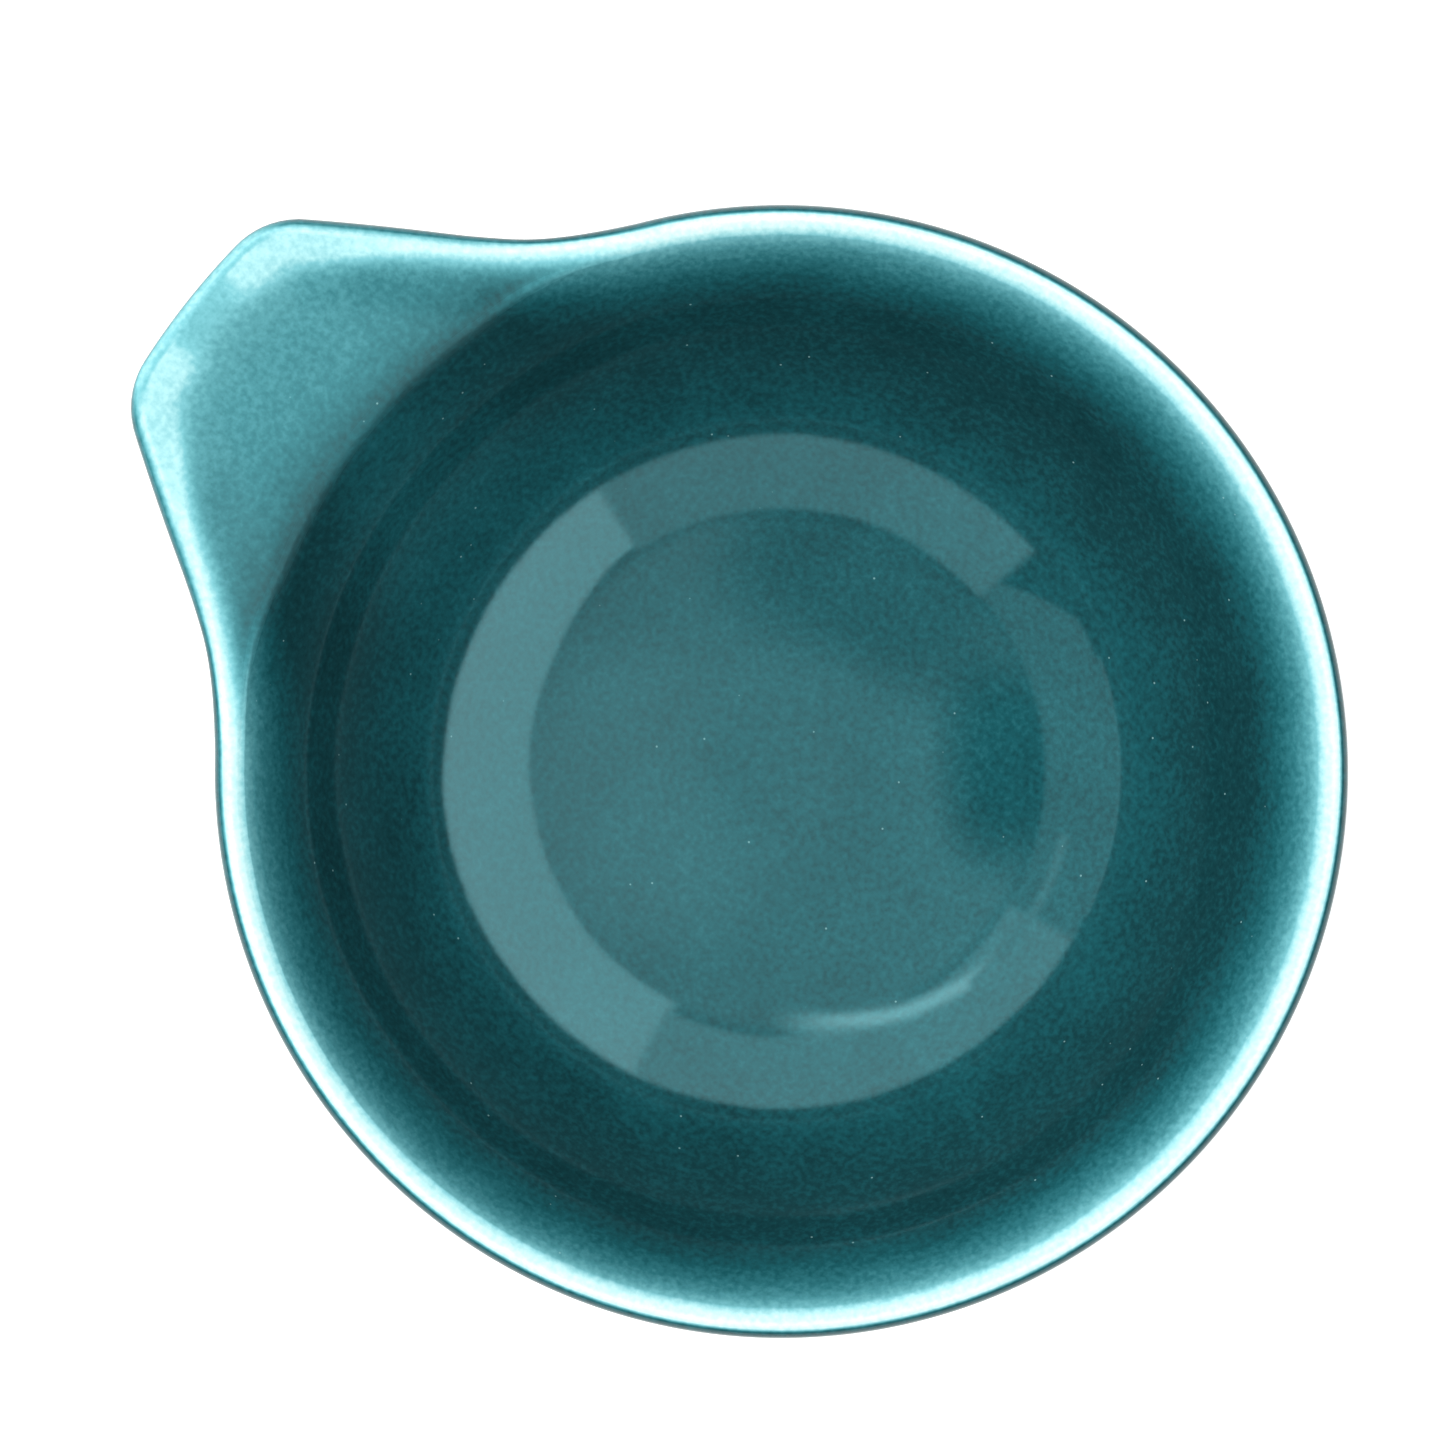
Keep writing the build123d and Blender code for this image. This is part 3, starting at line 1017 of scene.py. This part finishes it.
        # Painted shade along the crease, over glaze that pools there.
        pooled_and_painted_shade = 0.2 - 0.1 * smoothstep(self.rise, 0.5, 9) - 0.1 * smoothstep(self.rise, 0, 3.6)
        inside = smoothstep(np.minimum(self.side_margin, self.end_margin), 3, 7)
        power = 6  # a lower one would round the corner between the bands more
        lug = (side**power + end**power) ** (1 / power) - pooled_and_painted_shade * inside
        return np.clip(well + (lug - well) * smoothstep(self.rise, -0.2, 1.6), 0, 1)

    def edge_thinness_and_painted_light(self) -> Array:
        """Sets how pale the glaze is round the edge: the rim's, the lug's sides' and the lug's
        end's, with a painted shade line on the outer side and a painted highlight round the end.
        """
        steps = np.linspace(0, 1, Zone.EDGE.steps + 1)[1:]
        rim, flank, tip = (run.over(steps) for run in (RIM_EDGE, FLANK_EDGE, TIP_EDGE))
        facing = np.abs(np.degrees(self.crown_line()[1]))[:, None]
        edge = flank + (rim - flank) * smoothstep(self.spread, *ROOTS)
        return edge + (tip - edge) * (1 - smoothstep(facing, 15, 50))

    def find_thinness_and_painted_light(self) -> Array:
        """Sets how thinly the glaze runs: 0 where it pools and 1 where the clay shows through.
        Inside and on the lug the same numbers also carry painted shade and painted highlights.

        Returns:
            Thinness, with the painted light and shade, by ray and column.
        """
        outside = np.concatenate(
            [
                np.linspace(first, last, zone.steps) ** power
                for zone, (first, last, power) in OUTSIDE_RUNS.items()
            ]
        )
        shared = np.tile(outside, (len(self.azimuth), 1))
        return np.concatenate([self.top_thinness_and_painted_light(), self.edge_thinness_and_painted_light(), shared], axis=1)

    def find_dullness(self) -> Array:
        """Sets how dull the glaze is: 1 along the crease, where it is rubbed, and 0 elsewhere."""
        crease = 1 - smoothstep(np.abs(self.rise), *self.rub)
        rubbed = crease * (1 - smoothstep(self.spread, *self.rub_fade))
        rest = np.zeros((len(rubbed), self.grid.shape[1] - rubbed.shape[1]))
        return np.concatenate([rubbed, rest], axis=1)


# ---- Pieces -----------------------------------------------------------------------------------


@dataclass
class GlazedDish:
    """The coats of glaze and the lug's clay, cut from the dish's surface."""

    surface: DishSurface
    glaze: bpy.types.Material
    clay: bpy.types.Material
    coat: float = 0.4  # how thick the glaze is
    gap: float = 0.02  # between the glaze and the lug's clay

    def cells(self, over_lug: list[Zone], elsewhere: list[Zone]) -> Array:
        """Picks grid cells by zone, over the lug and on the rest of the dish.

        Args:
            over_lug: Zones that the piece has between the lug's roots.
            elsewhere: Zones that it has all the rest of the way round.

        Returns:
            True for each cell that belongs to the piece, by ray and column.
        """
        shape = self.surface.grid.shape
        picked = np.zeros((shape[0], shape[1] - 1), dtype=bool)
        for zone in over_lug:
            picked[: self.surface.lug_rays, zone.first : zone.last] = True
        for zone in elsewhere:
            picked[self.surface.lug_rays :, zone.first : zone.last] = True
        return picked

    def borders(self, picked: Array, corners: Array) -> Array:
        """Finds each side of a picked cell whose neighbour on that side isn't picked.

        Args:
            picked: Cells of the piece.
            corners: Four corners of every cell, in order.

        Returns:
            First and last corner of each side, in the order round its cell.
        """
        none = np.zeros((len(picked), 1), dtype=bool)
        neighbours = [
            np.roll(picked, 1, axis=0),
            np.hstack([picked[:, 1:], none]),
            np.roll(picked, -1, axis=0),
            np.hstack([none, picked[:, :-1]]),
        ]
        bare = [picked & ~neighbour for neighbour in neighbours]
        # The cells at the two ends of the section meet in a pole there.
        bare[1][:, -1] = False
        bare[3][:, 0] = False
        return np.vstack([corners[bare[side]][:, [side, (side + 1) % 4]] for side in range(4)])

    def skin(self, name: str, picked: Array) -> bpy.types.Object:
        """Makes a closed skin of glaze over the picked cells.

        The outer face is the surface, the inner face is the surface moved in by one coat, and a
        wall of quads joins them wherever a picked cell has a neighbour that isn't picked.

        Args:
            name: Name of the piece.
            picked: Cells that it covers.

        Returns:
            The piece.
        """
        grid, normals = self.surface.grid, self.surface.normals
        rays, columns = grid.shape[:2]
        below = rays * columns
        index = np.arange(below).reshape(rays, columns)
        index[:, 0] = index[0, 0]
        index[:, -1] = index[0, -1]
        here, there = index, np.roll(index, -1, axis=0)
        corners = np.stack([here[:, :-1], here[:, 1:], there[:, 1:], there[:, :-1]], axis=2)
        outer = corners[picked]
        start, end = self.borders(picked, corners).T
        wall = np.column_stack([end, start, start + below, end + below])
        quads = np.vstack([outer, outer[:, ::-1] + below, wall])

        points, facing = grid.reshape(-1, 3), normals.reshape(-1, 3)
        both = np.vstack([points, points - self.coat * facing])
        flat = self.flat_normals(
            both[wall[:, 1]] - both[wall[:, 0]], both[wall[:, 3]] - both[wall[:, 0]]
        )
        turned = np.concatenate([facing[outer], -facing[outer[:, ::-1]], flat])
        coat = {
            "thinness_and_painted_light": np.tile(self.surface.thinness_and_painted_light.reshape(-1), 2),
            "dullness": np.tile(self.surface.dullness.reshape(-1), 2),
        }
        return self.mesh(name, both, quads, turned, coat, self.glaze)

    def flat_normals(self, one: Array, other: Array) -> Array:
        """Crosses two directions in each quad, for all four of its corners."""
        flat = np.cross(one, other)
        flat /= np.linalg.norm(flat, axis=1, keepdims=True) + TINY
        return np.repeat(flat[:, None, :], 4, axis=1)

    def mesh(
        self,
        name: str,
        points: Array,
        quads: Array,
        turned: Array,
        coat: dict[str, Array],
        material: bpy.types.Material,
    ) -> bpy.types.Object:
        """Puts quads into a mesh, with triangles where two corners are one pole.

        Args:
            name: Name of the piece.
            points: Points in millimetres.
            quads: Four corners a face.
            turned: Normal of each corner of each face.
            coat: Name to values at each point, for the material.
            material: Finish of the piece.

        Returns:
            The object, with its origin on the frame's.
        """
        used, numbers = np.unique(quads, return_inverse=True)
        numbers = numbers.reshape(quads.shape)
        keep = numbers != np.roll(numbers, 1, axis=1)
        sizes = keep.sum(axis=1)
        mesh = bpy.data.meshes.new(name)
        mesh.vertices.add(len(used))
        mesh.vertices.foreach_set("co", (points[used] * MM).ravel())
        mesh.loops.add(int(sizes.sum()))
        mesh.loops.foreach_set("vertex_index", numbers[keep].astype(np.int32))
        mesh.polygons.add(len(quads))
        starts = np.concatenate([[0], np.cumsum(sizes)[:-1]]).astype(np.int32)
        mesh.polygons.foreach_set("loop_start", starts)
        mesh.polygons.foreach_set("use_smooth", np.ones(len(quads), dtype=bool))
        mesh.update(calc_edges=True)
        mesh.validate()
        mesh.normals_split_custom_set(turned[keep])
        for label, values in coat.items():
            share = mesh.attributes.new(label, "FLOAT", "POINT")
            share.data.foreach_set("value", values[used].astype(np.float32))
        mesh.materials.append(material)
        piece = bpy.data.objects.new(name, mesh)
        bpy.context.scene.collection.objects.link(piece)
        log.info("%s: %d points, %d faces", name, len(used), len(quads))
        return piece

    def lug_clay(self, name: str) -> bpy.types.Object:
        """Makes the lug's clay: its surface moved in by one coat, closed at the joint.

        The first and last columns of the lug's top and underside are joined by a wall on the
        joint's cylinder, and the section at each root is closed by a strip of quads across it.

        Args:
            name: Name of the piece.

        Returns:
            The piece.
        """
        first, last = Zone.TOP.first, Zone.UNDER.last
        grid = self.surface.grid[: self.surface.lug_rays + 1, first : last + 1]
        facing = self.surface.normals[: self.surface.lug_rays + 1, first : last + 1]
        points = grid - (self.coat + self.gap) * facing
        rays, columns = points.shape[:2]
        index = np.arange(rays * columns).reshape(rays, columns)
        ring = np.hstack([index, index[:, :1]])
        corners = np.stack([ring[:-1, :-1], ring[:-1, 1:], ring[1:, 1:], ring[1:, :-1]], axis=2)
        sides = corners.reshape(-1, 4)
        half = columns // 2
        up, down = np.arange(half), columns - 1 - np.arange(half)
        caps = []
        for row, way in ((0, -1), (rays - 1, 1)):
            strip = np.column_stack([up[:-1], up[1:], down[1:], down[:-1]])[:, ::way]
            caps.append(index[row][strip])
        quads = np.vstack([sides, *caps])
        spots = points.reshape(-1, 3)
        turned = self.flat_normals(
            spots[quads[:, 2]] - spots[quads[:, 0]], spots[quads[:, 3]] - spots[quads[:, 1]]
        )
        return self.mesh(name, spots, quads, turned, {}, self.clay)

    def build(self) -> None:
        """Makes every piece, hangs each on the root body, and hides the frame node that it takes
        the place of.
        """
        outer = [Zone.WALL, Zone.FILLET_OUT, Zone.SIDE_OUT]
        base = [Zone.SIDE_IN, Zone.FILLET_IN, Zone.BASE]
        lug = [Zone.TOP, Zone.EDGE, Zone.UNDER]
        skins = {
            "inside_glaze": self.cells([Zone.WELL], [Zone.WELL, Zone.TOP]),
            "lug_glaze": self.cells(lug, []),
            "outside_glaze": self.cells(outer, [Zone.EDGE, Zone.UNDER, *outer]),
            "base_glaze": self.cells(base, base),
        }
        for name, picked in skins.items():
            piece = self.skin("teal_" + name, picked)
            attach(piece, "root")
            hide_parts(name)
        handle = self.lug_clay("lug_clay")
        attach(handle, "root")
        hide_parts("lug_handle")


@dataclass
class BareClay:
    """The clay that keeps its shape from the frame: the bowl under its glaze, and the foot."""

    clay: bpy.types.Material
    nodes: tuple[str, ...] = ("bowl_body", "foot_ring")

    def build(self, frame: dict[str, Any]) -> None:
        """Gives each node the clay's finish."""
        for name in self.nodes:
            piece = frame["nodes"][name]
            piece.data.materials.clear()
            piece.data.materials.append(self.clay)
            log.info("%s: bare clay", name)


# ---- Studio -----------------------------------------------------------------------------------


@dataclass(frozen=True)
class Panel:
    """A curved soft light round the dish, in degrees of azimuth and elevation.

    The low and high edges are each given at evenly spaced azimuths. The light fades out over
    the last few degrees inside those edges, and inside its two ends.
    """

    start: float
    end: float
    low: tuple[float, ...]
    high: tuple[float, ...]
    radiance: float
    fade: float = 1.2
    end_fade: float = 1.2


@dataclass(frozen=True)
class Patch:
    """A round patch of sky that is dimmer or brighter: its centre, its core, its edge, its share.

    All but the share are in degrees, and the share is of the plain sky's strength.
    """

    azimuth: float
    elevation: float
    core: float
    edge: float
    share: float


@dataclass(frozen=True)
class Lamp:
    """A square soft lamp that faces the dish: degrees, metres and watts. Reflections miss it."""

    name: str
    azimuth: float
    elevation: float
    distance: float
    side: float
    power: float


@dataclass
class Studio:
    """Pale floor, curved soft lights, even light from above, and the camera over the dish."""

    lug_turn: float = 141.6  # where the lug points in the view, anticlockwise from the right
    camera_height: float = 605.0
    frame_width: float = 197.68  # what the view spans at the rim
    rim_plane: float = 52.5
    sensor: float = 36.0
    shift: tuple[float, float] = (-0.0407, 0.0339)
    sight: tuple[float, float] = (0.01, 20.0)  # m, the nearest and furthest that it sees
    floor_side: float = 6.0  # m
    floor_gap: float = 0.00002  # m, so that the seat and the floor share no plane
    floor_colour: str = "#f6f6f4"
    floor_roughness: float = 0.9
    floor_glow: float = 0.5
    fill: float = 0.5  # even light from all round
    backdrop: float = 1.0
    sky: float = 1.8  # what shows in reflections, overhead
    gloom: float = 0.12  # and lower down
    sky_edge: tuple[float, float] = (0.55, 0.68)  # between them, as the sine of the elevation
    panel_radius: float = 900.0
    panel_steps: tuple[int, int] = (60, 30)
    panels: tuple[Panel, ...] = (
        Panel(
            start=-59.4,
            end=66.4,
            low=(16.5, 16.5, 16.4, 15.6, 16.4, 16.4, 16.4),
            high=(36.5, 40.5, 41.8, 41.8, 40.8),
            radiance=4.4,
        ),
        Panel(start=63.4, end=152.4, low=(16.4,), high=(38.0,), radiance=2.7),
        Panel(
            start=149.4,
            end=221.6,
            low=(16.4, 16.4, 16.4, 16.4, 17.5, 31.0),
            high=(38.0,),
            radiance=1.2,
        ),
        Panel(start=220.4, end=303.6, low=(16.4,), high=(38.5,), radiance=2.2),
        Panel(
            start=86.0,
            end=122.0,
            low=(36.6, 34.2, 31.8),
            high=(46.6, 43.6, 40.6),
            radiance=4.8,
            fade=5.0,
            end_fade=13.0,
        ),
        Panel(
            start=92.0,
            end=144.0,
            low=(39.6, 36.4, 32.4, 29.8, 27.4),
            high=(45.2, 42.2, 38.9, 36.2, 33.8),
            radiance=7.6,
            fade=3.0,
            end_fade=15.0,
        ),
        Panel(
            start=131.0,
            end=168.0,
            low=(29.2, 28.4, 27.8),
            high=(34.0, 33.2, 32.6),
            radiance=2.4,
            fade=2.4,
        ),
        Panel(start=154.0, end=200.0, low=(16.0,), high=(17.4,), radiance=1.6, fade=0.4),
    )
    patches: tuple[Patch, ...] = (
        Patch(182, 46, 6, 24, 0.0),
        Patch(245, 47, 14, 34, 0.35),
        Patch(10, 62, 0, 34, 1.4),
    )
    lamps: tuple[Lamp, ...] = (
        Lamp("key", 165, 42, 1.0, 0.9, 8.0),
        Lamp("top", 0, 90, 1.1, 1.2, 6.2),
    )

    def emitter(self, name: str, radiance: float) -> bpy.types.Material:
        """Makes a white glow of this radiance where the mesh's glow is 1, see-through where 0."""
        material, tree = blank_material(name)
        share = add_node(tree, "ShaderNodeAttribute", attribute_name="glow").outputs["Fac"]
        clear = add_node(tree, "ShaderNodeBsdfTransparent")
        light = add_node(tree, "ShaderNodeEmission", {"Strength": radiance})
        mixed = add_node(
            tree, "ShaderNodeMixShader", {0: share, 1: clear.outputs[0], 2: light.outputs[0]}
        )
        add_node(tree, "ShaderNodeOutputMaterial", {"Surface": mixed.outputs[0]})
        return material

    def panel_grid(self, panel: Panel, radius: float) -> tuple[Array, Array]:
        """Lays out one curved light: part of a sphere about the middle of the rim.

        Args:
            panel: Where it is.
            radius: The sphere's radius.

        Returns:
            Points, and how much of the light's radiance each one has, by azimuth and elevation.
        """
        across, up = (np.linspace(0, 1, steps + 1) for steps in self.panel_steps)
        width = panel.end - panel.start
        low, high = (
            np.interp(across, np.linspace(0, 1, len(edge)) if len(edge) > 1 else [0], edge)[:, None]
            for edge in (panel.low, panel.high)
        )
        from_end = (np.minimum(across, 1 - across) * width)[:, None]
        from_edge = np.minimum(up, 1 - up) * (high - low)
        glow = smoothstep(from_end, 0, panel.end_fade) * smoothstep(from_edge, 0, panel.fade)
        turn = np.radians(panel.start + across * width - self.lug_turn)[:, None]
        rise = np.radians(low + (high - low) * up)
        points = radius * np.stack(
            [np.cos(rise) * np.cos(turn), np.cos(rise) * np.sin(turn), np.sin(rise)], axis=2
        )
        points[..., 2] += self.rim_plane
        return points, glow

    def add_panel(self, number: int, panel: Panel) -> None:
        """Hangs one curved light, seen by reflections only.

        Each light hangs a millimetre nearer than the one before, so that it fades over it.

        Args:
            number: Number for its name and its place.
            panel: Where it is, and how bright.
        """
        points, glow = self.panel_grid(panel, self.panel_radius - number)
        index = np.arange(glow.size).reshape(glow.shape)
        quads = np.stack([index[:-1, :-1], index[:-1, 1:], index[1:, 1:], index[1:, :-1]], axis=2)
        mesh = bpy.data.meshes.new(f"soft_light_{number}")
        mesh.from_pydata((points.reshape(-1, 3) * MM).tolist(), [], quads.reshape(-1, 4).tolist())
        share = mesh.attributes.new("glow", "FLOAT", "POINT")
        share.data.foreach_set("value", glow.ravel().astype(np.float32))
        mesh.materials.append(self.emitter(f"soft light {number}", panel.radiance))
        light = bpy.data.objects.new(mesh.name, mesh)
        bpy.context.scene.collection.objects.link(light)
        light.visible_camera = False
        light.visible_diffuse = False
        light.visible_shadow = False
        light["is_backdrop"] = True

    def add_lamp(self, lamp: Lamp) -> None:
        """Hangs one square lamp on its line of sight from the dish, and turns it to the dish."""
        turn, rise = np.radians(lamp.azimuth - self.lug_turn), np.radians(lamp.elevation)
        light = bpy.data.lights.new(lamp.name, "AREA")
        light.size = lamp.side
        light.energy = lamp.power
        holder = bpy.data.objects.new(lamp.name, light)
        holder.location = (
            lamp.distance * np.cos(rise) * np.cos(turn),
            lamp.distance * np.cos(rise) * np.sin(turn),
            lamp.distance * np.sin(rise),
        )
        holder.rotation_euler = (0, float(np.pi / 2 - rise), float(turn))
        holder.visible_glossy = False
        bpy.context.scene.collection.objects.link(holder)

    def add_floor(self) -> None:
        """Lays a pale, matt floor just under the seat, with a faint glow of its own."""
        half = self.floor_side / 2
        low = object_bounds()[0][2] - self.floor_gap
        mesh = bpy.data.meshes.new("studio_floor")
        corners = [(-half, -half, low), (half, -half, low), (half, half, low), (-half, half, low)]
        mesh.from_pydata(corners, [], [(0, 1, 2, 3)])
        material = bpy.data.materials.new("pale floor")
        material.use_nodes = True
        shader = material.node_tree.nodes["Principled BSDF"]
        shader.inputs["Base Color"].default_value = linear(self.floor_colour)
        shader.inputs["Roughness"].default_value = self.floor_roughness
        shader.inputs["Emission Color"].default_value = linear("#ffffff")
        shader.inputs["Emission Strength"].default_value = self.floor_glow
        mesh.materials.append(material)
        floor = bpy.data.objects.new("studio_floor", mesh)
        bpy.context.scene.collection.objects.link(floor)
        floor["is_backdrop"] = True

    def add_sky(self) -> None:
        """Lights the dish evenly from all round, with a patched sky for reflections.

        The reflected sky is dark below the panels' top edges. The camera itself sees a plain
        white backdrop.
        """
        world = bpy.data.worlds.new("studio")
        world.use_nodes = True
        tree = world.node_tree
        tree.nodes.clear()
        way = add_node(tree, "ShaderNodeTexCoord").outputs["Generated"]
        height = add_node(tree, "ShaderNodeSeparateXYZ", {0: way}).outputs["Z"]
        low, high = self.sky_edge
        strength = add_node(
            tree,
            "ShaderNodeMapRange",
            {
                "Value": height,
                "From Min": low,
                "From Max": high,
                "To Min": self.gloom,
                "To Max": self.sky,
            },
            interpolation_type="SMOOTHSTEP",
        ).outputs["Result"]
        for patch in self.patches:
            strength = self.patched(tree, way, strength, patch)
        all_round, above, behind = (
            add_node(
                tree, "ShaderNodeBackground", {"Color": linear("#ffffff"), "Strength": power}
            ).outputs[0]
            for power in (self.fill, strength, self.backdrop)
        )
        path = add_node(tree, "ShaderNodeLightPath").outputs
        lit = add_node(
            tree, "ShaderNodeMixShader", {0: path["Is Glossy Ray"], 1: all_round, 2: above}
        ).outputs[0]
        both = add_node(
            tree, "ShaderNodeMixShader", {0: path["Is Camera Ray"], 1: lit, 2: behind}
        ).outputs[0]
        add_node(tree, "ShaderNodeOutputWorld", {"Surface": both})
        bpy.context.scene.world = world

    def patched(self, tree: Any, way: Any, strength: Any, patch: Patch) -> Any:
        """Scales the sky's strength by the patch's share near the patch's centre."""
        turn, rise = np.radians(patch.azimuth - self.lug_turn), np.radians(patch.elevation)
        centre = (np.cos(rise) * np.cos(turn), np.cos(rise) * np.sin(turn), np.sin(rise))
        near = add_node(
            tree, "ShaderNodeVectorMath", {0: way, 1: centre}, operation="DOT_PRODUCT"
        ).outputs["Value"]
        share = add_node(
            tree,
            "ShaderNodeMapRange",
            {
                "Value": near,
                "From Min": float(np.cos(np.radians(patch.edge))),
                "From Max": float(np.cos(np.radians(patch.core))),
                "To Min": 1.0,
                "To Max": patch.share,
            },
            interpolation_type="SMOOTHSTEP",
        ).outputs["Result"]
        return add_node(
            tree, "ShaderNodeMath", {0: strength, 1: share}, operation="MULTIPLY"
        ).outputs[0]

    def add_camera(self) -> None:
        """Hangs the camera straight over the bowl, turned so that the lug points up and left."""
        camera = bpy.data.cameras.new("camera")
        reach = self.camera_height - self.rim_plane
        camera.sensor_width = self.sensor
        camera.lens = self.sensor * reach / self.frame_width
        camera.shift_x, camera.shift_y = self.shift
        camera.clip_start, camera.clip_end = self.sight
        holder = bpy.data.objects.new("camera", camera)
        holder.location = (0, 0, self.camera_height * MM)
        holder.rotation_euler = (0, 0, float(np.radians(-self.lug_turn)))
        bpy.context.scene.collection.objects.link(holder)
        bpy.context.scene.camera = holder

    def build(self) -> None:
        """Sets up the whole studio."""
        self.add_floor()
        self.add_sky()
        for number, panel in enumerate(self.panels, start=1):
            self.add_panel(number, panel)
        for lamp in self.lamps:
            self.add_lamp(lamp)
        self.add_camera()
        bpy.context.scene.view_settings.view_transform = "Standard"


def main() -> None:
    """Builds the dish round the frame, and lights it."""
    logging.basicConfig(level=logging.INFO, format="%(name)s: %(message)s")
    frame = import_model()
    glaze = TealGlaze().material()
    clay = FiredClay().material()
    GlazedDish(surface=DishSurface(), glaze=glaze, clay=clay).build()
    BareClay(clay=clay).build(frame)
    Studio().build()


if __name__ == "__main__":
    main()
